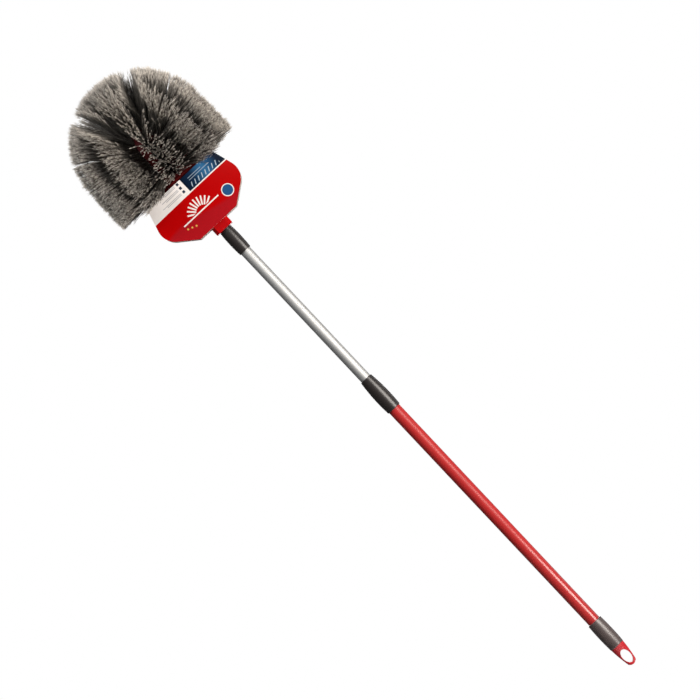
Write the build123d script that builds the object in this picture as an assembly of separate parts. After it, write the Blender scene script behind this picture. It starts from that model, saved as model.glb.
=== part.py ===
from build123d import *
import math
import os

# Cobweb brush on a two-part telescopic pole, in millimetres.
# Z runs up the pole to the bristle head, and the origin is the centre of the hanging hole.
# The front of the card sleeve faces -Y. Every place along the pole is stacked from the hole.

# Shared by all pieces: how far a cut runs past a face, and the gaps between moving pieces
overrun = 2.0
turning_gap = 0.3
sliding_gap = 0.1

# Pole tubes
outer_tube_diameter = 22.0
outer_tube_wall = 0.8
outer_tube_length = 584.6
inner_tube_diameter = 19.0
inner_tube_wall = 0.7
inner_tube_length = 573.0
inner_tube_showing = 287.2

# Hanging loop: a moulded tongue below the grip, with a plug that goes up the outer tube
hole_length = 26.1
hole_width = 15.0
hole_bevel = 1.4
loop_rise = 22.9
loop_drop = 17.4
loop_top_diameter = 25.4
loop_tip_width = 14.4
loop_tip_depth = 8.0
loop_tip_radius = 9.8
loop_waist_height_shares = (0.46, -0.10)
loop_waist_width_shares = (0.92, 0.787)
loop_waist_depth_shares = (0.64, 0.39)
plug_length = 30.0
plug_wall = 1.8

# End grip: a barrel over the lower end of the outer tube
grip_length = 54.3
grip_low_diameter = 26.2
grip_wide_diameter = 27.7
grip_top_diameter = 26.0
grip_wide_share = 0.51
grip_edge_radius = 0.9

# Joint collar: a barrel on the upper end of the outer tube, which guides the inner tube
collar_length = 67.4
collar_seat = 53.0
collar_low_diameter = 25.2
collar_wide_diameter = 27.3
collar_top_diameter = 22.1
collar_wide_share = 0.38
collar_edge_radius = 0.9

# Pole tip: a barrel on the upper end of the inner tube, with a round threaded spigot
tip_barrel_length = 47.6
tip_low_diameter = 22.5
tip_wide_diameter = 24.3
tip_top_diameter = 22.3
tip_wide_share = 0.5
tip_edge_radius = 0.8
tip_seat = 44.0
tip_neck_length = 0.6
spigot_diameter = 20.3
spigot_length = 27.0
spigot_bore = 13.0
spigot_chamfer = 1.2

# Lock inside the outer tube: a screw fixed in the inner tube turns in a split expander
screw_plug_length = 24.0
screw_flange_thickness = 2.5
screw_flange_diameter = 18.6
screw_stud_diameter = 6.0
screw_stud_length = 33.0
screw_cone_diameter = 15.0
screw_cone_length = 11.0
expander_length = 26.0
expander_slot_width = 1.6
expander_slot_share = 0.62
expander_slot_count = 3
stud_cap_diameter = 11.0
stud_cap_thickness = 3.2
stud_cap_flat_share = 0.84

# Hub base: a chamfered square socket for the spigot, which flares out to carry the dome
socket_across = 33.5
socket_chamfer = 5.2
socket_edge = 1.0
socket_length = 27.8
socket_depth = 30.0
socket_floor = 2.5
flare_neck_diameter = 30.0
flare_top_diameter = 90.0
flare_length = 81.0
flare_rim = 3.2
flare_wall = 2.4
flare_bend_radius_share = 0.27
flare_bend_height_share = 0.60
register_height = 5.0
register_wall = 1.9
register_gap = 0.1

# Hub dome: a straight flank under a half ball, with a groove for each row of tufts
dome_diameter = 86.0
dome_flank = 61.0
dome_wall = 4.5

# Bristle rows: each is a strip of the hub skin with its tufts
strip_depth = 2.0
strip_width = 9.6
flank_row_count = 4
flank_first_rise = 12.5
flank_row_pitch = 13.6
flank_tuft_count = 12
flank_tilt_angles = (6.0, 2.5, 0.0, 0.0)
ball_row_angles = (80.0, 64.0, 47.0, 31.0)
ball_tuft_counts = (12, 12, 12, 10)
cap_row_angle = 15.0
cap_tuft_count = 6
first_column_angle = -85.0

# Bristles: three-sided strands that spread from each tuft to the trimmed outline
strand_radius = 1.45
strand_side_count = 3
tuft_root_reach = 3.1
tuft_root_rise = 1.7
flank_spread_angle = 12.0
ball_spread_angle = 8.5
tuft_rise_angle = 1.2
strand_shares = (-1.0, -1 / 3, 1 / 3, 1.0)
trim_diameter = 245.0
trim_ball_rise = 22.0

# Card sleeve: one card folded at the bottom round the socket, with a panel front and back
card_thickness = 0.8
card_rise = 14.3
card_height = 92.5
card_fold_width = 80.2
card_lobe_width = 176.0
card_lobe_height = 35.7
card_top_width = 142.0
card_lobe_radius = 30.0
card_fold_depth = 44.0
card_top_depth = 95.0
card_fold_bulge = 0.4
card_top_bulge = 15.0
card_blank_width = 184.0

# Places along the pole
grip_bottom = loop_rise
outer_tube_top = grip_bottom + outer_tube_length
collar_bottom = outer_tube_top - collar_seat
collar_top = collar_bottom + collar_length
tip_bottom = collar_top + inner_tube_showing
inner_tube_top = tip_bottom + tip_seat
inner_tube_bottom = inner_tube_top - inner_tube_length
tip_shoulder = tip_bottom + tip_barrel_length
hub_bottom = tip_shoulder + tip_neck_length
flare_bottom = hub_bottom + socket_length
flare_top = flare_bottom + flare_length
dome_bottom = flare_top + flare_rim
ball_centre = dome_bottom + dome_flank
trim_centre = ball_centre + trim_ball_rise
card_bottom = hub_bottom + card_rise
card_top = card_bottom + card_height

# Radii that several pieces share
outer_radius = outer_tube_diameter / 2
bore_radius = outer_radius - outer_tube_wall
inner_radius = inner_tube_diameter / 2
dome_radius = dome_diameter / 2
spigot_radius = spigot_diameter / 2


def turned(points):
    """A solid of revolution about the pole's axis, from (radius, height) points."""
    outline = Polyline([(radius, 0, height) for radius, height in points], close=True)
    return revolve(make_face(outline), Axis.Z)


def tube(outside, inside, bottom, top):
    """A round tube between two heights."""
    return turned([(inside, bottom), (outside, bottom), (outside, top), (inside, top)])


def rim(solid, height):
    """The widest round edge of a solid at a height."""
    level = solid.edges().filter_by(GeomType.CIRCLE).group_by(Axis.Z)
    ring = min(level, key=lambda group: abs(group[0].center().Z - height))
    return ring.sort_by(SortBy.RADIUS)[-1]


def barrel(low, wide, top, wide_share, bottom, length, edge_radius):
    """A solid barrel with a swelling side and rounded ends, given its three diameters."""
    belly = bottom + wide_share * length
    end = bottom + length
    side = ThreePointArc((low / 2, 0, bottom), (wide / 2, 0, belly), (top / 2, 0, end))
    rest = Polyline((top / 2, 0, end), (0, 0, end), (0, 0, bottom), (low / 2, 0, bottom))
    solid = revolve(make_face([side, rest]), Axis.Z)
    return fillet([rim(solid, bottom), rim(solid, end)], edge_radius)


def oval(width, depth, height):
    """A flat oval across the pole at a height."""
    return Plane.XY.offset(height) * Ellipse(width / 2, depth / 2)


def outer_tube():
    """The painted lower tube, from the loop's shoulder up into the joint collar."""
    return tube(outer_radius, bore_radius, grip_bottom, outer_tube_top)


def inner_tube():
    """The bright upper tube, from the lock screw up into the pole tip."""
    return tube(inner_radius, inner_radius - inner_tube_wall, inner_tube_bottom, inner_tube_top)


def hang_loop():
    """The tongue with its oval hole, and the hollow plug that holds it in the outer tube."""
    waists = zip(loop_waist_width_shares, loop_waist_depth_shares, loop_waist_height_shares)
    sections = [oval(loop_top_diameter, loop_top_diameter, loop_rise)]
    for width_share, depth_share, height_share in waists:
        width = loop_top_diameter * width_share
        depth = loop_top_diameter * depth_share
        sections.append(oval(width, depth, loop_rise * height_share))
    sections.append(oval(loop_tip_width, loop_tip_depth, -loop_drop))
    tongue = loft(sections)
    tip_centre = loop_tip_radius - loop_drop
    front = Pos(0, tip_centre) * Circle(loop_tip_radius)
    front += Pos(0, (loop_rise + tip_centre) / 2) * Rectangle(loop_top_diameter, loop_rise - tip_centre)
    reach = loop_top_diameter
    tongue &= extrude(Plane.XZ * front, reach, both=True)
    tongue -= extrude(Plane.XZ * Ellipse(hole_width / 2, hole_length / 2), reach, both=True)
    for side in (-1, 1):
        mouth = Plane.XZ.offset(side * (loop_tip_depth / 2 + hole_bevel))
        throat = Plane.XZ.offset(side * (loop_tip_depth / 2 - hole_bevel))
        wide = Ellipse(hole_width / 2 + hole_bevel, hole_length / 2 + hole_bevel)
        tongue -= loft([throat * Ellipse(hole_width / 2, hole_length / 2), mouth * wide])
    return tongue + tube(bore_radius, bore_radius - plug_wall, loop_rise, loop_rise + plug_length)


def end_grip():
    """The barrel over the lower end of the outer tube."""
    solid = barrel(grip_low_diameter, grip_wide_diameter, grip_top_diameter, grip_wide_share,
                   grip_bottom, grip_length, grip_edge_radius)
    return solid - tube(outer_radius, 0, grip_bottom - overrun, grip_bottom + grip_length + overrun)


def joint_collar():
    """The barrel that caps the outer tube and guides the inner one."""
    solid = barrel(collar_low_diameter, collar_wide_diameter, collar_top_diameter,
                   collar_wide_share, collar_bottom, collar_length, collar_edge_radius)
    solid -= tube(outer_radius, 0, collar_bottom - overrun, outer_tube_top)
    return solid - tube(inner_radius + turning_gap, 0, collar_bottom, collar_top + overrun)


def lock_screw():
    """The plug in the end of the inner tube, with its flange, cone and stud."""
    bore = inner_radius - inner_tube_wall
    stud = screw_stud_diameter / 2
    flange_bottom = inner_tube_bottom - screw_flange_thickness
    cone_bottom = flange_bottom - screw_cone_length
    return turned([
        (0, inner_tube_bottom + screw_plug_length), (bore, inner_tube_bottom + screw_plug_length),
        (bore, inner_tube_bottom), (screw_flange_diameter / 2, inner_tube_bottom),
        (screw_flange_diameter / 2, flange_bottom), (screw_cone_diameter / 2, flange_bottom),
        (stud, cone_bottom), (stud, flange_bottom - screw_stud_length),
        (0, flange_bottom - screw_stud_length)])


def expander():
    """The split plug that grips the outer tube when the cone is drawn into it."""
    top = inner_tube_bottom - screw_flange_thickness - turning_gap
    bottom = top - expander_length
    bore = screw_stud_diameter / 2 + sliding_gap
    cone_end = top + turning_gap - screw_cone_length
    mouth = screw_cone_diameter / 2 + turning_gap
    solid = turned([(bore, bottom), (bore_radius - sliding_gap, bottom),
                    (bore_radius - sliding_gap, top), (mouth, top), (bore, cone_end)])
    slot_height = expander_length * expander_slot_share
    slot = Pos(0, 0, top + overrun) * Box(
        expander_slot_width, bore_radius + overrun, slot_height + overrun,
        align=(Align.CENTER, Align.MIN, Align.MAX))
    for turn in range(expander_slot_count):
        solid -= Rot(0, 0, turn * 360 / expander_slot_count) * slot
    return solid


def stud_cap():
    """The nut that keeps the expander on the stud, with two flats."""
    top = inner_tube_bottom - screw_flange_thickness - turning_gap * 2 - expander_length
    stud_end = inner_tube_bottom - screw_flange_thickness - screw_stud_length
    solid = tube(stud_cap_diameter / 2, 0, top - stud_cap_thickness, top)
    flats = Box(stud_cap_diameter * stud_cap_flat_share, stud_cap_diameter, stud_cap_thickness)
    solid &= Pos(0, 0, top - stud_cap_thickness / 2) * flats
    return solid - tube(screw_stud_diameter / 2, 0, stud_end, top + overrun)


def pole_tip():
    """The barrel on the inner tube, with the neck and spigot that the head screws on."""
    solid = barrel(tip_low_diameter, tip_wide_diameter, tip_top_diameter, tip_wide_share,
                   tip_bottom, tip_barrel_length, tip_edge_radius)
    spigot_top = hub_bottom + spigot_length
    solid += turned([
        (0, tip_shoulder - tip_edge_radius), (spigot_radius, tip_shoulder - tip_edge_radius),
        (spigot_radius, spigot_top - spigot_chamfer), (spigot_radius - spigot_chamfer, spigot_top),
        (0, spigot_top)])
    solid -= tube(inner_radius, 0, tip_bottom - overrun, inner_tube_top)
    return solid - tube(spigot_bore / 2, 0, tip_bottom, spigot_top + overrun)


def hub_base():
    """The square socket and the hollow flare that carries the dome."""
    square = Rectangle(socket_across, socket_across)
    square = chamfer(square.vertices(), socket_chamfer)
    socket = extrude(Plane.XY.offset(hub_bottom) * square, socket_length)
    socket = chamfer(socket.faces().sort_by(Axis.Z)[0].edges(), socket_edge)
    neck = flare_neck_diameter / 2
    wide = flare_top_diameter / 2
    bend = neck + flare_bend_radius_share * (wide - neck)
    bend_height = flare_bottom + flare_bend_height_share * flare_length
    floor = hub_bottom + socket_depth
    skin = [
        ThreePointArc((neck, 0, flare_bottom), (bend, 0, bend_height), (wide, 0, flare_top)),
        Polyline((wide, 0, flare_top), (wide, 0, dome_bottom), (wide - flare_wall * 2, 0, dome_bottom),
                 (wide - flare_wall * 2, 0, flare_top), (wide - flare_wall, 0, flare_top)),
        ThreePointArc((wide - flare_wall, 0, flare_top), (bend - flare_wall, 0, bend_height),
                      (neck - flare_wall, 0, floor + socket_floor)),
        Polyline((neck - flare_wall, 0, floor + socket_floor), (0, 0, floor + socket_floor),
                 (0, 0, flare_bottom), (neck, 0, flare_bottom))]
    solid = socket + revolve(make_face(skin), Axis.Z)
    lip = dome_radius - dome_wall - register_gap
    solid += tube(lip, lip - register_wall, flare_top, dome_bottom + register_height)
    solid += tube(wide - flare_wall, lip - register_wall, flare_top, dome_bottom)
    return solid - tube(spigot_radius + turning_gap, 0, hub_bottom - overrun, floor)


def ball_point(radius, angle):
    """A point of the half ball's section, at an angle from the pole's axis."""
    turn = math.radians(angle)
    return (radius * math.sin(turn), 0, ball_centre + radius * math.cos(turn))


def ball_arc(radius, first, last):
    """An arc of the half ball's section between two angles from the pole's axis."""
    middle = (first + last) / 2
    return ThreePointArc(
        ball_point(radius, first), ball_point(radius, middle), ball_point(radius, last))


def strip_angles(angle):
    """The two edges of a strip on the half ball, where the last row's strip is a whole cap."""
    half = math.degrees(strip_width / 2 / dome_radius)
    return angle + half, 0 if angle == cap_row_angle else angle - half


def row_strip(angle, height):
    """The strip of hub skin under one row, on the flank or on the half ball."""
    inside = dome_radius - strip_depth
    if height:
        return tube(dome_radius, inside, height - strip_width / 2, height + strip_width / 2)
    low, high = strip_angles(angle)
    outline = [
        ball_arc(dome_radius, low, high), Line(ball_point(dome_radius, high), ball_point(inside, high)),
        ball_arc(inside, high, low), Line(ball_point(inside, low), ball_point(dome_radius, low))]
    return revolve(make_face(outline), Axis.Z)


def hub_dome(rows):
    """The hollow dome, turned from one outline with a groove for each row's strip."""
    inside = dome_radius - dome_wall
    floor = dome_radius - strip_depth
    flank = [(inside, 0, ball_centre), (inside, 0, dome_bottom), (dome_radius, 0, dome_bottom)]
    outline = []
    last_angle = 90
    for angle, height, *rest in rows:
        if height:
            low, high = height - strip_width / 2, height + strip_width / 2
            flank += [(dome_radius, 0, low), (floor, 0, low), (floor, 0, high), (dome_radius, 0, high)]
            continue
        low, high = strip_angles(angle)
        outline += [ball_arc(dome_radius, last_angle, low),
                    Line(ball_point(dome_radius, low), ball_point(floor, low)),
                    ball_arc(floor, low, high)]
        if high:
            outline.append(Line(ball_point(floor, high), ball_point(dome_radius, high)))
        last_angle = high
    outline += [Polyline(flank + [(dome_radius, 0, ball_centre)]),
                Line(ball_point(floor, 0), ball_point(inside, 0)), ball_arc(inside, 0, 90)]
    return revolve(make_face(outline), Axis.Z)


def reach(root, way):
    """The length of a bristle from its root to the trimmed outline, a ball over a drum."""
    trim_radius = trim_diameter / 2
    start = root - Vector(0, 0, trim_centre)
    along = start.dot(way)
    length = -along + math.sqrt(along ** 2 - start.dot(start) + trim_radius ** 2)
    if root.Z + way.Z * length >= trim_centre:
        return length
    flat = way.X ** 2 + way.Y ** 2
    along = root.X * way.X + root.Y * way.Y
    short = root.X ** 2 + root.Y ** 2 - trim_radius ** 2
    return (-along + math.sqrt(along ** 2 - flat * short)) / flat


def tuft(angle, height, tilt, turn, flip):
    """The strands of one tuft. They fan out along the row and never cross."""
    polar = math.radians(angle)
    around = math.radians(turn)
    level = Vector(math.cos(around), math.sin(around), 0)
    side = Vector(-math.sin(around), math.cos(around), 0)
    out = level * math.sin(polar) + Vector(0, 0, math.cos(polar))
    upward = Vector(0, 0, math.sin(polar)) - level * math.cos(polar)
    seat = Vector(0, 0, height or ball_centre) + out * (dome_radius - strip_depth / 2)
    fan = flank_spread_angle if height else ball_spread_angle
    strands = []
    for index, share in enumerate(strand_shares):
        lift = flip if index % 2 else -flip
        root = seat + side * (tuft_root_reach * share) + upward * (tuft_root_rise * lift)
        spread = math.tan(math.radians(fan * share))
        rise = math.tan(math.radians(tuft_rise_angle * lift - tilt))
        way = (out + side * spread + upward * rise).normalized()
        section = Plane(origin=root, z_dir=way) * RegularPolygon(strand_radius, strand_side_count)
        strands.append(extrude(section, reach(root, way)))
    return strands


def bristle_row(angle, height, tilt, tufts, flip):
    """A strip of hub skin with a ring of tufts, fused in one go."""
    strands = []
    for index in range(tufts):
        turn = first_column_angle + index * 360 / tufts
        strands += tuft(angle, height, tilt, turn, flip)
    if angle == cap_row_angle:
        strands += tuft(0, 0, 0, first_column_angle, flip)
    return row_strip(angle, height).fuse(*strands)


def card_panel(side):
    """One panel of the card: a sheet that leans out and bows, cut to the lobed outline."""
    half = card_blank_width / 2
    sections = []
    levels = ((card_bottom, card_fold_depth, card_fold_bulge), (card_top, card_top_depth, card_top_bulge))
    for height, depth, bulge in levels:
        edges = []
        for skin in (0, card_thickness):
            face = side * (depth / 2 - skin)
            ends = side * (depth / 2 - skin - bulge)
            edges.append(((-half, ends), (0, face), (half, ends)))
        outside, inside = edges
        outline = [ThreePointArc(*outside), Line(outside[2], inside[2]), ThreePointArc(*inside[::-1]),
                   Line(inside[0], outside[0])]
        sections.append(Plane.XY.offset(height) * make_face(outline))
    sheet = loft(sections, ruled=True)
    lobe = card_bottom + card_lobe_height
    corners = [(card_fold_width / 2, card_bottom), (card_lobe_width / 2, lobe),
               (card_top_width / 2, card_top)]
    corners += [(-width, height) for width, height in reversed(corners)]
    outline = make_face(Polyline(corners, close=True))
    lobes = outline.vertices().filter_by_position(Axis.Y, lobe, lobe)
    outline = fillet(lobes, card_lobe_radius)
    return sheet & extrude(Plane.XZ * outline, card_top_depth, both=True)


def card_sleeve():
    """The folded card: two panels, and the strip between them with a hole for the socket."""
    corner = math.hypot(socket_across / 2, socket_across / 2 - socket_chamfer)
    strip = Pos(0, 0, card_bottom) * Box(
        card_fold_width, card_fold_depth, card_thickness, align=(Align.CENTER, Align.CENTER, Align.MIN))
    strip -= tube(corner + turning_gap, 0, card_bottom - overrun, card_bottom + overrun)
    return strip + card_panel(-1) + card_panel(1)


# Rows from the rim to the top: angle from the axis, height on the flank, tilt and tuft count
rows = []
for index in range(flank_row_count):
    row_height = dome_bottom + flank_first_rise + index * flank_row_pitch
    rows.append((90, row_height, flank_tilt_angles[index], flank_tuft_count))
for row_angle, row_tufts in zip(ball_row_angles, ball_tuft_counts):
    rows.append((row_angle, 0, 0, row_tufts))
rows.append((cap_row_angle, 0, 0, cap_tuft_count))

pieces = {
    "outer_tube": outer_tube(),
    "end_grip": end_grip(),
    "hang_loop": hang_loop(),
    "joint_collar": joint_collar(),
    "expander": expander(),
    "inner_tube": inner_tube(),
    "lock_screw": lock_screw(),
    "stud_cap": stud_cap(),
    "pole_tip": pole_tip(),
    "card_sleeve": card_sleeve(),
    "hub_base": hub_base(),
    "hub_dome": hub_dome(rows),
}
for index, row in enumerate(rows):
    pieces[f"bristle_row_{index + 1}"] = bristle_row(*row, 1 if index % 2 else -1)

os.makedirs("parts", exist_ok=True)
for name, piece in pieces.items():
    export_step(piece, f"parts/{name}.step")
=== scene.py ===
# %% [markdown]
# A cobweb brush: a round head of soft split-end bristles on a two-part telescopic pole.
# The pole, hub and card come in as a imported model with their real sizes. This notebook gives
# each surface its finish, and grows the bristles, which the model holds only as a few thick
# strands. Everything is in metres, Z runs up the pole, and the card's front faces -Y.

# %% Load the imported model
import math
from collections import namedtuple

import bmesh
import bpy
import numpy as np
from mathutils import Matrix, Vector


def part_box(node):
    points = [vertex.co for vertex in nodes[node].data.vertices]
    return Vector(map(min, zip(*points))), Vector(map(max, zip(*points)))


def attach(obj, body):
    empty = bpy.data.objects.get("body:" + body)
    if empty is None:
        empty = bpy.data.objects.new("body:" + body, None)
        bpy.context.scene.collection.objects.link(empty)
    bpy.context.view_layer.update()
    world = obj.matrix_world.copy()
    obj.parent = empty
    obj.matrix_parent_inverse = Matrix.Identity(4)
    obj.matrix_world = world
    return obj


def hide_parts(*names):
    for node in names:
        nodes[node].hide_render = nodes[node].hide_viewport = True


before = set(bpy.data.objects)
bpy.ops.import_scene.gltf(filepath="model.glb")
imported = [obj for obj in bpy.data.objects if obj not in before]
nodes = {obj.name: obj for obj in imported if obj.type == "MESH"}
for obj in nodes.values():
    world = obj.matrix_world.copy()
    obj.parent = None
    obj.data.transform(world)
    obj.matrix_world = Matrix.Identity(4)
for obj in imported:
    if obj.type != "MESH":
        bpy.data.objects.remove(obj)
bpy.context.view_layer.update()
mm = 0.001

# %% [markdown]
# The picture was taken from far away and the brush lies across it at a slant. A long lens from
# six metres keeps the tubes' sides parallel. The camera is rolled rather than the brush, so
# that the pole stays on the Z axis. The square picture spans a little more than a metre.

# %% Place the camera
view_distance = 6.0
view_span = 1.1445
view_centre = Vector((13.2 * mm, 0, 673.55 * mm))
view_roll = math.radians(43.26)
sensor_width = 36.0

camera = bpy.data.objects.new("camera", bpy.data.cameras.new("camera"))
bpy.context.collection.objects.link(camera)
camera.data.sensor_width = sensor_width
camera.data.lens = sensor_width * view_distance / view_span
right = Vector((math.cos(view_roll), 0, -math.sin(view_roll)))
up = Vector((math.sin(view_roll), 0, math.cos(view_roll)))
turned = Matrix((right, up, right.cross(up))).transposed().to_4x4()
camera.matrix_world = Matrix.Translation(view_centre - Vector((0, view_distance, 0))) @ turned
bpy.context.scene.camera = camera
print("lens", round(camera.data.lens, 1), "mm")

# %% [markdown]
# A product on white needs two kinds of light. The background has to be pure white, but a white
# room all round would wash out the dark sides that make a tube look round. So the softboxes
# light the brush: a warm key light on the right draws the long highlight on the pole, a smaller
# one shapes the head from the upper left, weak broad ones open the shadows, and one lights the
# back. A softbox is an area lamp, turned to look at a point of the brush.

# %% Light the studio
warm, neutral = (1.0, 0.945, 0.88), (1.0, 1.0, 1.0)
pole_middle = Vector((0, 0, 390 * mm))
head_middle = Vector((0, 0, 1150 * mm))


def softbox(name, azimuth, rise, distance, width, height, power, middle=view_centre,
            tint=neutral):
    """A rectangular lamp that looks at a point of the brush.

    Azimuth 0 is the camera's side. Angles are in degrees, and the power is in watts.
    """
    lamp = bpy.data.lights.new(name, "AREA")
    lamp.shape = "RECTANGLE"
    lamp.size, lamp.size_y = width, height
    lamp.energy, lamp.color = power, tint
    turn, lift = math.radians(azimuth), math.radians(rise)
    level = math.cos(lift)
    away = Vector((math.sin(turn) * level, -math.cos(turn) * level, math.sin(lift)))
    holder = bpy.data.objects.new(name, lamp)
    bpy.context.collection.objects.link(holder)
    aim = (-away).to_track_quat("-Z", "Y").to_matrix().to_4x4()
    holder.matrix_world = Matrix.Translation(middle + away * distance) @ aim


softbox("key_light", azimuth=44, rise=0, distance=1.7, width=0.85, height=1.3, power=42,
        middle=pole_middle, tint=warm)
softbox("head_light", azimuth=-18, rise=45, distance=1.1, width=0.6, height=0.6, power=10.5,
        middle=head_middle)
softbox("fill_light", azimuth=-10, rise=50, distance=3.0, width=1.6, height=1.6, power=7)
softbox("rear_strip", azimuth=118, rise=4, distance=3.0, width=0.8, height=2.4, power=7)
softbox("front_panel", azimuth=0, rise=0, distance=7.0, width=5.0, height=3.0, power=6)
softbox("back_light", azimuth=180, rise=20, distance=3.0, width=1.8, height=2.4, power=70)
print(len(bpy.data.lights), "softboxes")

# %% [markdown]
# Shader maths reads best as plain sums. This small class holds one output of a node, and each
# operator on it adds the Math node that does the sum. Every other kind of node comes from one
# method, which takes the node's type, its settings, and the values or wires of its sockets.
# The Mix node repeats its sockets for numbers, vectors and colours under the same names, so
# the ones for colours are picked by their place in its list.

# %% A kit for shader wires
mix_factor, mix_low, mix_high, mix_result = 0, 6, 7, 2


class Wire:
    """One output of a shader node. A sum or product of wires adds its own Math node."""

    def __init__(self, tree, socket=None):
        self.tree = tree
        self.socket = socket

    def node(self, kind, settings=None, sockets=None, out=0):
        """Adds one node: its settings first, then the values or wires of its sockets."""
        made = self.tree.nodes.new("ShaderNode" + kind)
        for name, value in (settings or {}).items():
            if name == "stops":
                self.set_stops(made.color_ramp.elements, value)
            else:
                setattr(made, name, value)
        for name, value in (sockets or {}).items():
            if isinstance(value, Wire):
                self.tree.links.new(value.socket, made.inputs[name])
            else:
                made.inputs[name].default_value = value
        return Wire(self.tree, made.outputs[out])

    @staticmethod
    def set_stops(ramp, stops):
        """Gives a colour ramp its places and colours."""
        first, *middle, last = stops
        ramp[0].position, ramp[0].color = first[0], (*first[1], 1)
        ramp[-1].position, ramp[-1].color = last[0], (*last[1], 1)
        for place, tint in middle:
            ramp.new(place).color = (*tint, 1)

    def out(self, name):
        """Another output of the same node."""
        return Wire(self.tree, self.socket.node.outputs[name])

    def maths(self, operation, *values):
        return self.node("Math", {"operation": operation}, dict(enumerate(values)))

    def __add__(self, other):
        return self.maths("ADD", self, other)

    def __radd__(self, other):
        return self.maths("ADD", other, self)

    def __sub__(self, other):
        return self.maths("SUBTRACT", self, other)

    def __rsub__(self, other):
        return self.maths("SUBTRACT", other, self)

    def __mul__(self, other):
        return self.maths("MULTIPLY", self, other)

    def __rmul__(self, other):
        return self.maths("MULTIPLY", other, self)

    def __truediv__(self, other):
        return self.maths("DIVIDE", self, other)

    def __abs__(self):
        return self.maths("ABSOLUTE", self)

    def clamp(self):
        return self.node("Clamp", None, {0: self})

    def step(self, edge, softness):
        """0 below an edge and 1 above it, over a short soft ramp."""
        return ((self - edge) / softness + 0.5).clamp()

    def noise(self, scale, detail=2.0, roughness=0.5):
        """Noise between 0 and 1, with the wire as its coordinates."""
        return self.node("TexNoise", None, {
            "Vector": self, "Scale": scale, "Detail": detail, "Roughness": roughness})

    def stretch(self, x, y, z):
        """The coordinates multiplied along each axis."""
        return self.node("Mapping", None, {"Vector": self, "Scale": (x, y, z)})

    def part(self, axis):
        """One part of a vector: X, Y or Z."""
        return self.node("SeparateXYZ", None, {0: self}).out(axis)

    def blend(self, low, high):
        """A colour between two colours, by the wire's value."""
        sockets = {mix_factor: self, mix_low: low, mix_high: high}
        return self.node("Mix", {"data_type": "RGBA"}, sockets, out=mix_result)


print("shader kit ready")

# %% [markdown]
# The Light Path node tells the world which rays come straight from the camera. For those the
# world is full white. For all others, which carry light to the brush, it is nearly dark.

# %% Whiten the background
room_light = 0.085

world = bpy.data.worlds.new("studio")
world.use_nodes = True
bpy.context.scene.world = world
bpy.context.scene.view_settings.view_transform = "Standard"
background = world.node_tree.nodes["Background"]
background.inputs["Color"].default_value = (1, 1, 1, 1)
seen = Wire(world.node_tree).node("LightPath").out("Is Camera Ray")
brightness = seen * (1 - room_light) + room_light
world.node_tree.links.new(brightness.socket, background.inputs["Strength"])
print("world of", len(world.node_tree.nodes), "nodes")

# %% [markdown]
# Each finish starts from the Principled shader. What is the same all over the surface is set on
# the shader's own sockets, and what varies is fed to them by wires. Patterns read the object's
# coordinates, which are in metres: noise of scale 500 has grains of about 2 millimetres.

# %% A kit for finishes
finishes = {}


class Finish(Wire):
    """A material. Constants go on the shader's own sockets, and wires are fed to what varies."""

    def __init__(self, name, constants):
        self.material = bpy.data.materials.new(name)
        self.material.use_nodes = True
        super().__init__(self.material.node_tree)
        self.shader = self.tree.nodes["Principled BSDF"]
        for socket, value in constants.items():
            self.shader.inputs[socket].default_value = value

    def place(self):
        """Where a point is on the object, in metres."""
        return self.node("TexCoord", out="Object")

    def feed(self, socket, wire):
        self.tree.links.new(wire.socket, self.shader.inputs[socket])

    def relief(self, height, depth, strength=1.0):
        """Small bumps, as deep as the real ones."""
        self.feed("Normal", self.node("Bump", None, {
            "Height": height, "Distance": depth, "Strength": strength}))


def colour(red, green, blue, share=1.0):
    """A colour as the shader takes it, in linear light. A share below 1 darkens it."""
    return (share * red, share * green, share * blue, 1)


def keep(slot, material):
    """Files a finish under the material slot that it is for."""
    finishes[slot] = material
    print(slot, "takes", len(material.node_tree.nodes), "nodes")


print("finish kit ready")

# %% [markdown]
# Enamel on a steel tube is a hard clear gloss over colour. Under a lamp it shows a faint
# orange-peel ripple a millimetre or two across, and the red wanders a little along the tube.
# The ripple is a bump, and dull handling marks are long patches of roughness. The gloss is a
# coat, which is worn off the tube's upper part, where hands and the collar rub it.

# %% Red enamel for the lower tube
worn_height, worn_fade, worn_share = 215 * mm, 110 * mm, 0.95
deep_red, bright_red = colour(0.40, 0.017, 0.019), colour(0.47, 0.026, 0.024)
enamel_dull, mark_dull, mark_stretch = 0.41, 0.05, 0.15
ripple_depth = 0.002 * mm


def enamel():
    finish = Finish("red_enamel", {"Specular IOR Level": 0.28, "Coat Roughness": 0.15})
    place = finish.place()
    finish.feed("Base Color", place.noise(scale=18, detail=3).blend(deep_red, bright_red))
    marks = place.stretch(1, 1, mark_stretch).noise(scale=260).step(edge=0.56, softness=0.3)
    finish.feed("Roughness", enamel_dull + marks * mark_dull)
    worn = place.part("Z").step(worn_height, worn_fade)
    finish.feed("Coat Weight", 1 - worn * worn_share)
    finish.relief(place.noise(scale=600, detail=1), ripple_depth)
    return finish.material


keep("red_paint", enamel())

# %% [markdown]
# The upper tube is drawn aluminium. Drawing leaves fine lines along it, so the noise that sets
# its roughness is stretched a hundredfold along Z. A metal's colour is all in its reflection.
# The nut on the lock's stud is plated steel, which takes the same recipe and is shinier.

# %% Drawn metals for the upper tube and the nut
line_stretch, line_dull, line_depth = 0.01, 0.12, 0.001 * mm
cloud_share = 0.9


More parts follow.
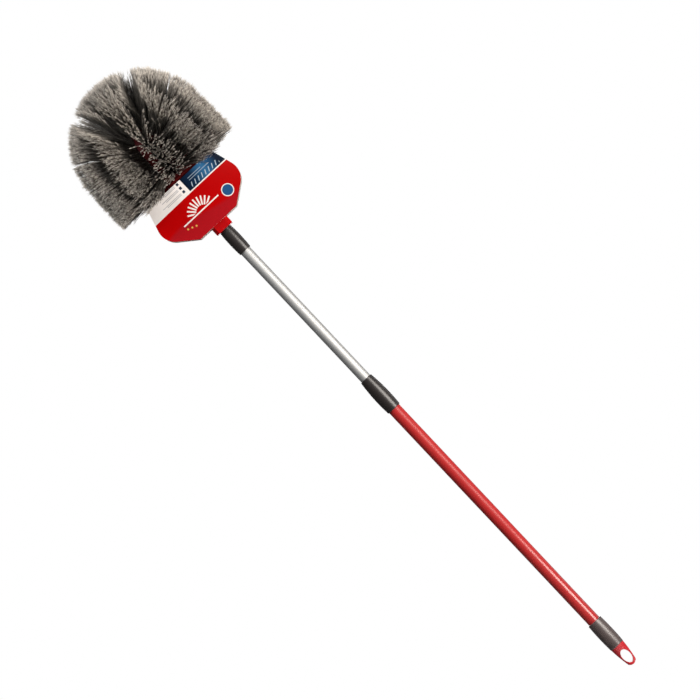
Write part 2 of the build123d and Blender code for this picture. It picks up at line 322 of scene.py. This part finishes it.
def drawn_metal(name, tint, dull):
    finish = Finish(name, {"Metallic": 1.0})
    place = finish.place()
    lines = place.stretch(1, 1, line_stretch).noise(scale=5200, detail=3, roughness=0.65)
    clouded = colour(*tint, share=cloud_share)
    finish.feed("Base Color", place.noise(scale=30).blend(clouded, colour(*tint)))
    finish.feed("Roughness", dull + lines * line_dull)
    finish.relief(lines, line_depth, strength=0.3)
    return finish.material


keep("bright_tube", drawn_metal("drawn_aluminium", (0.615, 0.62, 0.62), dull=0.56))
keep("stud_steel", drawn_metal("plated_steel", (0.62, 0.61, 0.60), dull=0.3))

# %% [markdown]
# The barrels, grip, loop and hub are injection moulded. A mould is spark-eroded to a fine
# grain, which prints on the plastic and softens its shine, while a polished mould leaves it
# glossy. One recipe serves all of them, with the grain's depth and the gloss as its settings.
# The hub is also painted darker and duller upwards: a painted shade for the shadow under the
# bristles.

# %% Moulded plastics
mottle_dark, mottle_pale = 0.88, 1.1
smudge_dull = 0.06
# The painted shade on the hub's upper part: how soft its edge is, how dark it gets and how much
# duller.
top_shade_fade, top_shade_share, top_shade_dull = 30 * mm, 0.16, 0.5
plastics = {
    "barrel_plastic": {"tint": (0.019, 0.015, 0.0145), "dull": 0.36, "grain": 0.002 * mm,
                       "coat": 0.4, "coat_dull": 0.36},
    "grip_plastic": {"tint": (0.078, 0.058, 0.056), "dull": 0.36, "grain": 0.002 * mm,
                     "coat": 1.0, "coat_dull": 0.42},
    "loop_plastic": {"tint": (0.50, 0.020, 0.028), "dull": 0.30, "grain": 0.004 * mm,
                     "coat": 0.2},
    "hub_plastic": {"tint": (0.46, 0.0006, 0.002), "dull": 0.32, "grain": 0.003 * mm,
                    "coat": 0.05, "shine": 0.15, "dark_above": 1030 * mm},
    # The hub's skin takes a near-black red, a painted shade for the hub deep among the bristles;
    # the real hub is the socket's red.
    "hub_painted_shade": {"tint": (0.04, 0.0008, 0.0015), "dull": 0.6, "grain": 0.003 * mm,
                 "shine": 0.12},
    "lock_plastic": {"tint": (0.72, 0.71, 0.67), "dull": 0.42, "grain": 0.02 * mm},
}


def moulded(name, tint, dull, grain, coat=0.0, coat_dull=0.15, shine=0.5, dark_above=0.0):
    finish = Finish(name, {
        "Coat Weight": coat, "Coat Roughness": coat_dull, "Specular IOR Level": shine})
    place = finish.place()
    mottle = place.noise(scale=40, detail=3)
    plain = mottle.blend(colour(*tint, share=mottle_dark), colour(*tint, share=mottle_pale))
    smudges = place.noise(scale=420, detail=3, roughness=0.6).step(edge=0.6, softness=0.25)
    rough = dull + smudges * smudge_dull
    # Above this height the colour is painted darker and the coat thinner: a painted shade under
    # the bristles.
    if dark_above:
        painted_top_shade = place.part("Z").step(dark_above, top_shade_fade)
        plain = painted_top_shade.blend(plain, colour(*tint, share=top_shade_share))
        rough = rough + painted_top_shade * top_shade_dull
        finish.feed("Coat Weight", (1 - painted_top_shade) * coat)
    finish.feed("Base Color", plain)
    finish.feed("Roughness", rough)
    finish.relief(place.noise(scale=2400), grain)
    return finish.material


for name, settings in plastics.items():
    keep(name, moulded(name, **settings))

# %% [markdown]
# The card is printed board: a red field below, a pale panel and a blue panel above. The print
# is drawn in millimetres, across from the card's middle and up from its lower edge. Every shape
# in it is a product of soft steps, 1 inside the shape and 0 outside.

# %% Shapes for the print
print_edge = 0.35 * mm


class Print(Wire):
    """Places on the card, in metres, with the shapes the print is made of."""

    def __init__(self, finish):
        super().__init__(finish.tree)
        self.across = finish.place().part("X")
        self.depth = self.across.out("Y")
        self.height = self.across.out("Z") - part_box("card_sleeve")[0].z

    @staticmethod
    def within(wire, low, high):
        """1 between two soft edges."""
        return wire.step(low * mm, print_edge) * (1 - wire.step(high * mm, print_edge))

    @staticmethod
    def beside(wire, width):
        """1 within half a width of zero."""
        return 1 - abs(wire).step(width / 2 * mm, print_edge)

    def bar(self, x_low, x_high, z_low, z_high):
        """A soft-edged rectangle."""
        return self.within(self.across, x_low, x_high) * self.within(self.height, z_low, z_high)

    def disc(self, middle, radius):
        """A soft-edged round spot."""
        off_x, off_z = self.across - middle[0] * mm, self.height - middle[1] * mm
        squares = off_x * off_x + off_z * off_z
        return 1 - squares.maths("SQRT", squares).step(radius * mm, print_edge)

    def strokes(self, slope, pitch, width):
        """Even slanting strokes, all across the card."""
        run = (self.across + self.height * slope) / (pitch * mm)
        return self.beside((run.maths("FRACT", run) - 0.5) * (pitch * mm), width)

    def ray(self, foot, turn, inner, outer, width):
        """One stroke of a fan, turned from upright."""
        off_x, off_z = self.across - foot[0] * mm, self.height - foot[1] * mm
        aside = off_x * math.cos(turn) - off_z * math.sin(turn)
        ahead = off_x * math.sin(turn) + off_z * math.cos(turn)
        return self.beside(aside, width) * self.within(ahead, inner, outer)


print("print kit ready")

# %% [markdown]
# The fields come first. The red is painted a shade darker below a slow wave: a painted shade
# where the card's curve turns from the light. The blue is a colour ramp that is bright in its
# middle, a painted highlight across the card's curve, under slanting strokes and two pale bars.
# The pale panel has small squares, each beside a pair of grey bars. All the bars are faint.

# %% The card's fields
white_ink = colour(0.90, 0.855, 0.835)
wave_foot, wave_fade, wave_rise, wave_rate = 26.4, 6, 9, 0.03
blue_span = 85
# The blue is print; the ramp's bright middle is a painted highlight across the card's curve.
blue_highlight_stops = [
    (0.0, (0.003, 0.008, 0.022)), (0.25, (0.006, 0.026, 0.070)), (0.5, (0.035, 0.150, 0.320)),
    (0.64, (0.014, 0.070, 0.170)), (0.80, (0.003, 0.009, 0.026))]
stroke_slope, stroke_pitch, stroke_width = -0.5, 7.4, 1.7
stroke_box = (9, 69, 69.9, 77.4)
blue_bars = ((12, 54, 81.0, 82.2), (12, 40, 84.8, 86.0))
square_count, square_foot, square_pitch = 3, 71.7, 7.8
square_left, square_right, square_height = -9.5, -5.2, 4.4
grey_end = -13
grey_bars = ((-44, 4, 0.5, 1.6), (-52, 5, 2.8, 3.9))
bar_strength = 0.6


def red_field(place, ink):
    red = place.noise(scale=14).blend(colour(0.45, 0.0005, 0.001), colour(0.52, 0.001, 0.0015))
    swell = ink.across / mm * wave_rate
    # Below a slow wave the red is darker: a painted shade where the card's curve turns from the
    # light.
    wave = ink.height + swell.maths("SINE", swell) * (wave_rise * mm)
    return wave.step(wave_foot * mm, wave_fade * mm).blend(colour(0.40, 0.007, 0.012), red)


def blue_panel(ink):
    # The ramp's bright middle is a painted highlight on the printed blue.
    run = (ink.across / (blue_span * mm)).clamp()
    blue = run.node("ValToRGB", {"stops": blue_highlight_stops}, {0: run})
    marks = ink.strokes(stroke_slope, stroke_pitch, stroke_width) * ink.bar(*stroke_box)
    for bar in blue_bars:
        marks = marks + ink.bar(*bar) * bar_strength
    return marks.clamp().blend(blue, colour(0.42, 0.52, 0.62))


def pale_panel(ink):
    pale = white_ink
    for row in range(square_count):
        foot = square_foot + row * square_pitch
        square = ink.bar(square_left, square_right, foot, foot + square_height)
        pale = square.blend(pale, colour(0.02, 0.03, 0.06))
        bars = 0
        for start, shift, low, high in grey_bars:
            bars = bars + ink.bar(start + row * shift, grey_end, foot + low, foot + high)
        pale = (bars * bar_strength).blend(pale, colour(0.16, 0.18, 0.23))
    return pale


print(len(blue_highlight_stops), "stops of blue,", square_count, "squares")

# %% [markdown]
# The devices lie over the fields: pale rules between the fields, a fan of strokes over a bar, a
# blue disc with a pale ring, and three dots. Only the card's outer faces are printed, so the
# print shows where a face looks outwards, and the inner faces and cut edges stay bare board.

# %% Print the card
panel_foot, panel_split = 66.4, 0.2
rule_width, split_width = 2.0, 1.4
card_reach, card_top = 95, 99
fan_foot, fan_rays, fan_step = (-6, 27.4), 9, 15
fan_inner, fan_outer, ray_width = 13, 28, 2.6
fan_bar, fan_gap = (-46, 30, 31.4, 33.6), 1.8
disc_middle, disc_radius, disc_ring = (47, 28.4), 9.0, 1.5
dot_count, dot_first, dot_step, dot_radius = 3, (-44, 25.4), (7, -2.5), 1.6
board_dull, ink_gloss = 0.62, 0.26
board_depth = 0.03 * mm


def pale_devices(ink):
    half_rule, half_split = rule_width / 2, split_width / 2
    rule = ink.bar(-card_reach, card_reach, panel_foot - half_rule, panel_foot + half_rule)
    split = ink.bar(panel_split - half_split, panel_split + half_split, panel_foot, card_top)
    fan = 0
    for index in range(fan_rays):
        turn = math.radians((index - (fan_rays - 1) / 2) * fan_step)
        fan = fan + ink.ray(fan_foot, turn, fan_inner, fan_outer, ray_width)
    fan = fan * ink.height.step((fan_bar[3] + fan_gap) * mm, print_edge)
    ring = ink.disc(disc_middle, disc_radius + disc_ring)
    return (rule + split + fan + ink.bar(*fan_bar) + ring).clamp()


def printed_card():
    finish = Finish("printed_card", {"Specular IOR Level": 0.04})
    place = finish.place()
    ink = Print(finish)
    upper = ink.across.step(panel_split * mm, print_edge).blend(pale_panel(ink), blue_panel(ink))
    front = ink.height.step(panel_foot * mm, print_edge).blend(red_field(place, ink), upper)
    front = pale_devices(ink).blend(front, white_ink)
    front = ink.disc(disc_middle, disc_radius).blend(front, colour(0.02, 0.09, 0.24))
    for dot in range(dot_count):
        middle = (dot_first[0] + dot * dot_step[0], dot_first[1] + dot * dot_step[1])
        front = ink.disc(middle, dot_radius).blend(front, colour(0.75, 0.42, 0.10))
    outward = place.node("TexCoord", out="Normal").part("Y")
    printed = (outward * ink.depth.maths("SIGN", ink.depth)).step(edge=0.3, softness=0.05)
    fibres = place.noise(scale=900, detail=3)
    board = fibres.blend(colour(0.62, 0.60, 0.56), colour(0.70, 0.68, 0.64))
    finish.feed("Base Color", printed.blend(board, front))
    finish.feed("Roughness", board_dull - printed * ink_gloss)
    finish.relief(place.noise(scale=420, detail=3), board_depth)
    return finish.material


keep("printed_card", printed_card())

# %% [markdown]
# A bristle is a drawn plastic filament, with a soft shine along it. The head reads as dark
# inside and pale at its tips, because little light gets in and because the split ends scatter
# it. Each fibre carries two values, how far along it a point is and how pale it is. The colour
# goes from the body to the paler end over a long stretch, and to the tip over a short one. The
# dark body is partly the fibre's own colour and partly painted shade for the head's inside, and
# the pale tips are partly their own colour and partly painted light. Soft patches about as wide
# as a finger are painted light and shade for uneven bunches that shade each other, and give a
# part of the paleness.

# %% Filament for the bristles
patch_scale, patch_fade, patch_share = 70, 0.22, 0.45
# The dark body colours are partly the fibre's own colour and partly painted shade for the head's
# inside; the pale tip colours are partly their own and partly painted light.
body_dark, body_pale = colour(0.075, 0.070, 0.061), colour(0.160, 0.149, 0.129)
end_dark, end_pale = colour(0.23, 0.211, 0.188), colour(0.52, 0.477, 0.426)
tip_dark, tip_pale = colour(0.58, 0.530, 0.474), colour(0.97, 0.893, 0.802)
end_start, end_fade = 0.72, 0.46
tip_start, tip_fade = 0.93, 0.12
filament_dull, tip_dull = 0.42, 0.2


def filament():
    finish = Finish("bristle_filament", {"IOR": 1.5})
    along = finish.node("Attribute", {"attribute_name": "along"}, out="Fac")
    # Soft patches of painted light and shade, for uneven bunches that shade each other.
    painted_patches = finish.place().noise(patch_scale).step(0.5, patch_fade)
    shade = finish.node("Attribute", {"attribute_name": "shade"}, out="Fac")
    shade = shade * (1 - patch_share) + painted_patches * patch_share
    body = shade.blend(body_dark, body_pale)
    ends = shade.blend(end_dark, end_pale)
    tips = shade.blend(tip_dark, tip_pale)
    paler = along.step(end_start, end_fade).blend(body, ends)
    finish.feed("Base Color", along.step(tip_start, tip_fade).blend(paler, tips))
    finish.feed("Roughness", filament_dull + along.clamp() * tip_dull)
    return finish.material


keep("bristle", filament())

# %% [markdown]
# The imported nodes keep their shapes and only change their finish. Each node's mesh has material
# slots, and every slot of a node takes the same finish.

# %% Dress the pole, hub and card
dressed = {
    "outer_tube": "red_paint", "end_grip": "grip_plastic", "hang_loop": "loop_plastic",
    "joint_collar": "barrel_plastic", "expander": "lock_plastic", "inner_tube": "bright_tube",
    "lock_screw": "lock_plastic", "stud_cap": "stud_steel", "pole_tip": "barrel_plastic",
    "card_sleeve": "printed_card", "hub_base": "hub_plastic", "hub_dome": "hub_plastic",
}
for name, slot in dressed.items():
    for place in nodes[name].material_slots:
        place.material = finishes[slot]
print(len(finishes), "finishes,", len(dressed), "nodes dressed")

# %% [markdown]
# The hub's dome is one moulding with a hole for each tuft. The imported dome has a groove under
# each row, so a smooth skin goes over it. A point swings through a quarter turn about the
# ball's centre and drops down the flank, which draws the outline, and the outline is spun round
# the pole's axis.

# %% Skin the dome
dome_low, dome_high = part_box("hub_dome")
dome_radius = dome_high.x
dome_flank = 61 * mm
ball_centre = dome_low.z + dome_flank
skin_lift = 0.15 * mm
skin_wall = 1.2 * mm
swing_steps, round_steps = 24, 96
weld_distance = 0.01 * mm


def piece(name, shape, slot, body, finish=None):
    """A finished piece from a bmesh: named, in its finish, and riding on its body."""
    mesh = bpy.data.meshes.new(name)
    shape.to_mesh(mesh)
    shape.free()
    made = bpy.data.objects.new(name, mesh)
    bpy.context.collection.objects.link(made)
    mesh.materials.append(finishes[finish or slot])
    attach(made, body)
    return made


def dome_skin():
    shape = bmesh.new()
    radius = dome_radius + skin_lift
    top = bmesh.ops.create_vert(shape, co=(0, 0, ball_centre + radius))["vert"]
    swing = bmesh.ops.spin(shape, geom=top, cent=(0, 0, ball_centre), axis=(0, 1, 0),
                           angle=math.pi / 2, steps=swing_steps)
    low = [vert for vert in swing["geom_last"] if isinstance(vert, bmesh.types.BMVert)]
    fall = bmesh.ops.extrude_vert_indiv(shape, verts=low)["verts"]
    bmesh.ops.translate(shape, vec=(0, 0, -dome_flank), verts=fall)
    bmesh.ops.spin(shape, geom=shape.verts[:] + shape.edges[:], cent=(0, 0, 0), axis=(0, 0, 1),
                   angle=math.tau, steps=round_steps, use_merge=True)
    bmesh.ops.remove_doubles(shape, verts=shape.verts, dist=weld_distance)
    bmesh.ops.recalc_face_normals(shape, faces=shape.faces)
    for face in shape.faces:
        face.smooth = True
    # The skin is near-black red: a painted shade where the bristles keep the light off the hub.
    skin = piece("hub_skin", shape, "hub_plastic", "head", "hub_painted_shade")
    wall = skin.modifiers.new("wall", "SOLIDIFY")
    wall.thickness, wall.offset = skin_wall, -1
    return skin


hub_skin = dome_skin()
print("hub skin", len(hub_skin.data.polygons), "faces")

# %% [markdown]
# The head screws on the pole's spigot, and shows it when it is unscrewed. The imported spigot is
# plain, so a low ridge is wound round it: a small diamond, half sunk in the spigot, is spun
# three and a half times while it rises one pitch a turn.

# %% Wind the thread
spigot_radius = 10.15 * mm
thread_height, thread_half_width = 0.24 * mm, 1.1 * mm
thread_pitch = 6 * mm
thread_turns = 3.5
thread_steps = 40
thread_drop = 24 * mm
thread_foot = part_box("pole_tip")[1].z - thread_drop


def spigot_thread():
    shape = bmesh.new()
    flat = Matrix.Diagonal((thread_height / thread_half_width, 1, 1, 1))
    upright = Matrix.Rotation(math.pi / 2, 4, "X")
    place = Matrix.Translation((spigot_radius, 0, thread_foot))
    bmesh.ops.create_circle(shape, segments=4, radius=thread_half_width,
                            matrix=place @ flat @ upright)
    bmesh.ops.spin(shape, geom=shape.edges[:], cent=(0, 0, 0), axis=(0, 0, 1),
                   dvec=(0, 0, thread_pitch / thread_steps), angle=math.tau * thread_turns,
                   steps=int(thread_turns * thread_steps))
    bmesh.ops.holes_fill(shape, edges=shape.edges[:], sides=4)
    bmesh.ops.recalc_face_normals(shape, faces=shape.faces)
    return piece("spigot_thread", shape, "barrel_plastic", "inner_pole")


thread = spigot_thread()
print("thread", len(thread.data.polygons), "faces")

# %% [markdown]
# One fibre is drawn once, in a unit of its own: one long and one in radius. It has three sides,
# because thousands of them share the render, and its end splits into three points as a flagged
# bristle does. A ring is extruded and drawn in step by step, and three fine cones that lean
# apart are the splits.

# %% Model one fibre
fibre_sides = 3
ring_rises = (0.32, 0.32, 0.24)
ring_taper = 0.95
stem_share = 0.91
split_rise, split_lean, split_drop = 0.09, 3.2, 0.02
split_reaches = (0.4, 0.7, 1.0)
split_radius, split_tip = 0.62, 0.42


def one_fibre():
    shape = bmesh.new()
    bmesh.ops.create_circle(shape, segments=fibre_sides, radius=1, cap_ends=True)
    rim = shape.edges[:]
    for rise in ring_rises:
        grown = bmesh.ops.extrude_edge_only(shape, edges=rim)["geom"]
        ring = {part for part in grown if isinstance(part, bmesh.types.BMVert)}
        rim = [part for part in grown
               if isinstance(part, bmesh.types.BMEdge) and ring >= set(part.verts)]
        bmesh.ops.translate(shape, vec=(0, 0, rise), verts=list(ring))
        bmesh.ops.scale(shape, vec=(ring_taper, ring_taper, 1), verts=list(ring))
    grown = bmesh.ops.extrude_edge_only(shape, edges=rim)["geom"]
    tip = [part for part in grown if isinstance(part, bmesh.types.BMVert)]
    bmesh.ops.pointmerge(shape, verts=tip, merge_co=(0, 0, stem_share))
    split_middle = 1 - split_rise / 2
    for split, reach in enumerate(split_reaches):
        turn = math.tau * split / len(split_reaches)
        hair = bmesh.ops.create_cone(
            shape, segments=fibre_sides, radius1=split_radius, radius2=split_tip,
            depth=split_rise, cap_ends=True, matrix=Matrix.Translation((0, 0, split_middle)))
        high = [vert for vert in hair["verts"] if vert.co.z > split_middle]
        lean = Vector((math.cos(turn), math.sin(turn), 0)) * split_lean * reach
        bmesh.ops.translate(shape, vec=lean - Vector((0, 0, split_drop * split)), verts=high)
    bmesh.ops.recalc_face_normals(shape, faces=shape.faces)
    return shape


fibre = one_fibre()
fibre_points = np.array([vert.co for vert in fibre.verts])
print("one fibre:", len(fibre.verts), "points,", len(fibre.faces), "faces")

# %% [markdown]
# The tufts stand in rows: four round the dome's straight flank and five on its ball. In most
# rows the tufts are thirty degrees apart, and these rows line up, so the head shows columns of
# tips with dark valleys between. The first column is three degrees off the front. The two rows
# nearest the top have fewer tufts, and one more tuft crowns the head.
#
# A row has the angle of its seat from the top, the level that this angle turns about, the way
# its tufts point, how many there are, and how far they fan out round the head and up it. The
# angles are in degrees. Last come a tuft's clumps across and up, and the fibres in a clump. A
# few front tufts droop over the card, and in the front column the fibres cling together in
# bunches, which show as separate dots where they point at the eye.

# %% Lay out the rows
Row = namedtuple("Row", "seat level way tufts fan spread clumps")

first_column = -87
flank_seat, flank_tufts = 90, 12
flank_foot, flank_pitch = 12.5, 13.6
flank_ways = (90.4, 91.2, 90.5, 90)
flank_rises = [(flank_foot + flank_pitch * row) * mm for row in range(len(flank_ways))]
flank_fans = (14.5, 14, 12.5, 11)
flank_spreads = (2.4, 4.2, 4.2, 4.2)
ball_seats = (80, 64, 47, 31, 15)
ball_ways = (84, 68.5, 48, 36, 15)
ball_tufts = (12, 12, 12, 8, 6)
ball_fans = (9, 8.5, 7.5, 10, 9)
ball_spreads = (10, 9.5, 8.5, 7.2, 7.5)
flank_clumps, ball_clumps, bunches = (15, 9, 2), (14, 9, 2), (9, 8, 4)
clinging, clinging_rows = 0.3, 6
droops = {(0, 0): 4, (0, 1): 11, (0, 11): 12}

rows = [Row(flank_seat, dome_low.z + rise, way, flank_tufts, fan, spread, flank_clumps)
        for rise, way, fan, spread in zip(flank_rises, flank_ways, flank_fans, flank_spreads)]
rows += [Row(seat, ball_centre, way, tufts, fan, spread, ball_clumps)
         for seat, way, tufts, fan, spread
         in zip(ball_seats, ball_ways, ball_tufts, ball_fans, ball_spreads)]
crown = rows[-1]._replace(seat=0, way=0, tufts=1)
print(len(rows), "rows,", sum(row.tufts for row in [*rows, crown]), "tufts")

# %% [markdown]
# A brush is trimmed after it is filled, so a fibre's length is whatever reaches the trimming
# outline: a half ball over a drum. Handling has parted the head's tips at four places, which
# notch its outline. Each parting has an angle from the top, a half width, how much wider it
# gets towards the front, and how far off it still moves a tip, and counts on both sides of the
# head. The maths runs on many fibres at once.

# %% Trim and part the head
trim_radius, trim_lift = 122 * mm, 22 * mm
trim_centre = ball_centre + trim_lift
partings = ((24.6, 1.4, 9.0, 17), (57.5, 1.0, 0.5, 5))
tiny = 1e-9


def unit(vectors):
    return vectors / np.linalg.norm(vectors, axis=-1, keepdims=True)


def trimmed(roots, ways):
    """How long each fibre is when its end lies on the trimming outline."""
    start = roots - (0, 0, trim_centre)
    along = (start * ways).sum(-1)
    ball = -along + np.sqrt(along ** 2 - (start ** 2).sum(-1) + trim_radius ** 2)
    flat = np.maximum((ways[:, :2] ** 2).sum(-1), tiny)
    along = (roots[:, :2] * ways[:, :2]).sum(-1)
    inside = trim_radius ** 2 - (roots[:, :2] ** 2).sum(-1)
    drum = (-along + np.sqrt(along ** 2 + flat * inside)) / flat
    return np.where(roots[:, 2] + ways[:, 2] * ball >= trim_centre, ball, drum)


def parted(ends):
    """The fibres' ends, pushed aside where the head is parted from front to back."""
    spots = ends - (0, 0, ball_centre)
    angles = np.degrees(np.arctan2(spots[:, 0], spots[:, 2]))
    depth = spots[:, 1] / trim_radius
    turned = angles.copy()
    for middle, narrow, wider, reach in partings:
        off = np.abs(angles) - middle
        half = narrow * np.clip(1 - 2 * depth, 0, 1) + wider * np.maximum(-depth, 0)
        moved = np.sign(off) * (half + np.abs(off) * (1 - half / reach)) + middle
        turned = np.where(np.abs(off) < reach, np.sign(angles) * moved, turned)
    turned = np.radians(turned)
    radii = np.hypot(spots[:, 0], spots[:, 2])
    heights = ball_centre + radii * np.cos(turned)
    return np.stack((radii * np.sin(turned), ends[:, 1], heights), axis=-1)


print("trimmed at", round(trim_radius / mm), "mm from the axis")

# %% [markdown]
# The fibres of a tuft leave its hole in small clumps that fan out over a grid, one clump to a
# cell. Each tuft, clump and fibre strays a little from its place, and the clumps end a
# millimetre or two off the trimming outline. The strays are in degrees.

# %% Fill a tuft
tuft_stray = (1.6, 0.7)
clump_stray, clump_tails = (2.7, 0.9), 4
fibre_stray = (1.1, 0.6)
hole_spread = (4.2 * mm, 6.8 * mm)
root_depth = 1.5 * mm
clump_scatter, trim_scatter = 1.5 * mm, 0.6 * mm


def tuft_fibres(row, turn, dice, droop=0, loose=1.0):
    """Where one tuft's fibres start, which way the tuft points, and where they end."""
    clumps_across, clumps_up, fibres_per_clump = bunches if loose < 1 else row.clumps
    around = np.array((-math.sin(turn), math.cos(turn), 0))
    outward = np.array((math.cos(turn), math.sin(turn), 0))
    axis = np.array((0, 0, 1))

    def lean(angle):
        return outward * math.sin(math.radians(angle)) + axis * math.cos(math.radians(angle))

    seat = axis * row.level + lean(row.seat) * (dome_radius - root_depth)
    main, rising = lean(row.way + droop), lean(row.way + droop - 90)
    cells = np.indices((clumps_across, clumps_up)).reshape(2, -1).T
    spots = 2 * (cells + dice.uniform(0, 1, cells.shape)) / (clumps_across, clumps_up) - 1
    strays = dice.standard_t(clump_tails, cells.shape) * clump_stray
    leans = spots * (row.fan, row.spread) + strays + dice.normal(0, tuft_stray)
    spots, leans = (np.repeat(part, fibres_per_clump, axis=0) for part in (spots, leans))
    leans = np.tan(np.radians(leans + loose * dice.normal(0, fibre_stray, leans.shape)))
    offsets = spots * hole_spread
    roots = seat + around * offsets[:, :1] + rising * offsets[:, 1:]
    ways = unit(main + around * leans[:, :1] + rising * leans[:, 1:])
    uneven = np.repeat(dice.normal(0, clump_scatter, len(cells)), fibres_per_clump)
    lengths = trimmed(roots, ways) + uneven + dice.normal(0, trim_scatter, len(ways))
    return roots, np.broadcast_to(main, roots.shape), parted(roots + ways * lengths[:, None])


sample = tuft_fibres(rows[0], 0, np.random.default_rng(0))
print("a flank tuft has", len(sample[0]), "fibres")

# %% [markdown]
# A row becomes one mesh. The fibre's small shape is copied once for each fibre, and then every
# copy's points are moved at once: along a curve that leaves the hole the way the tuft points and
# bends towards its end, with a slight wave. The two values that the finish reads, how far along
# and how pale, are stored on the points.

# %% Grow the bristles
fibre_radius, fibre_widths = 0.33 * mm, (0.8, 1.2)
wave_height = 0.8 * mm
bundle_share = 0.42
flank_pale, ball_pale = 2.9, 2.1


def many(shape, count):
    """Copies of a small shape in one mesh. Doubling makes thousands in a dozen steps."""
    size = len(shape.verts)
    while len(shape.verts) < size * count:
        everything = shape.verts[:] + shape.edges[:] + shape.faces[:]
        bmesh.ops.duplicate(shape, geom=everything)
    bmesh.ops.delete(shape, geom=shape.verts[:][size * count:], context="VERTS")
    return shape


def row_fibres(index, row, dice):
    """Every fibre of a row: where it starts, which way its tuft points, and where it ends."""
    tufts = []
    for tuft in range(row.tufts):
        turn = math.radians(first_column + 360 * tuft / row.tufts)
        loose = clinging if tuft == 0 and index < clinging_rows else 1.0
        tufts.append(tuft_fibres(row, turn, dice, droops.get((index, tuft), 0), loose))
    if row is rows[-1]:
        tufts.append(tuft_fibres(crown, math.radians(first_column), dice))
    return [np.concatenate(part) for part in zip(*tufts)]


def grow_row(index, row):
    """One row of tufts as a single mesh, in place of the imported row."""
    dice = np.random.default_rng(index + 1)
    roots, mains, ends = row_fibres(index, row, dice)
    count = len(roots)
    chords = ends - roots
    lengths = np.linalg.norm(chords, axis=-1)[:, None]
    bends = roots + mains * lengths * bundle_share
    side = unit(np.cross(chords, dice.normal(size=chords.shape)))
    other = unit(np.cross(chords, side))
    along = fibre_points[:, 2][None, :, None]
    paths = ((1 - along) ** 2 * roots[:, None] + 2 * along * (1 - along) * bends[:, None]
             + along ** 2 * ends[:, None])
    swings = dice.normal(0, wave_height, (count, 1, 1))
    waves = swings * np.sin(math.pi * along) ** 2 * side[:, None]
    width = fibre_radius * dice.uniform(*fibre_widths, (count, 1, 1))
    section = (fibre_points[:, 0][None, :, None] * side[:, None]
               + fibre_points[:, 1][None, :, None] * other[:, None]) * width
    grown = piece(f"bristles_{index + 1}", many(fibre.copy(), count), "bristle", "head")
    grown.data.vertices.foreach_set("co", (paths + waves + section).ravel())
    pale = flank_pale if index < len(flank_rises) else ball_pale
    values = {"along": np.tile(1 - pale * (1 - fibre_points[:, 2]), count),
              "shade": np.repeat(dice.uniform(0, 1, count), len(fibre_points))}
    for name, numbers in values.items():
        grown.data.attributes.new(name, "FLOAT", "POINT").data.foreach_set("value", numbers)
    grown.data.update()
    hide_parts(f"bristle_row_{index + 1}")
    return grown


bristles = [grow_row(index, row) for index, row in enumerate(rows)]
fibre.free()
print(sum(len(row.data.polygons) for row in bristles), "faces of bristle")

# %% [markdown]
# The brush hangs by its loop, so nothing stands on the floor. The pale floor glows faintly, as
# one does in a bright studio, and is small enough to stay out of the picture.

# %% Lay the floor
floor_drop, floor_radius, floor_sides = 0.42, 0.6, 96
floor_glow = 0.24
floor_dull, scuff_dull = 0.6, 0.1


def pale_floor():
    finish = Finish("pale_floor", {
        "Emission Color": colour(1, 1, 1), "Emission Strength": floor_glow})
    scuffs = finish.place().noise(scale=3)
    finish.feed("Base Color", scuffs.blend(colour(0.84, 0.84, 0.83), colour(0.88, 0.88, 0.87)))
    finish.feed("Roughness", floor_dull + scuffs * scuff_dull)
    shape = bmesh.new()
    bmesh.ops.create_circle(shape, segments=floor_sides, radius=floor_radius, cap_ends=True,
                            matrix=Matrix.Translation((0, 0, -floor_drop)))
    mesh = bpy.data.meshes.new("floor")
    shape.to_mesh(mesh)
    shape.free()
    mesh.materials.append(finish.material)
    made = bpy.data.objects.new("floor", mesh)
    bpy.context.collection.objects.link(made)


pale_floor()
print("floor", floor_drop, "m below the loop")
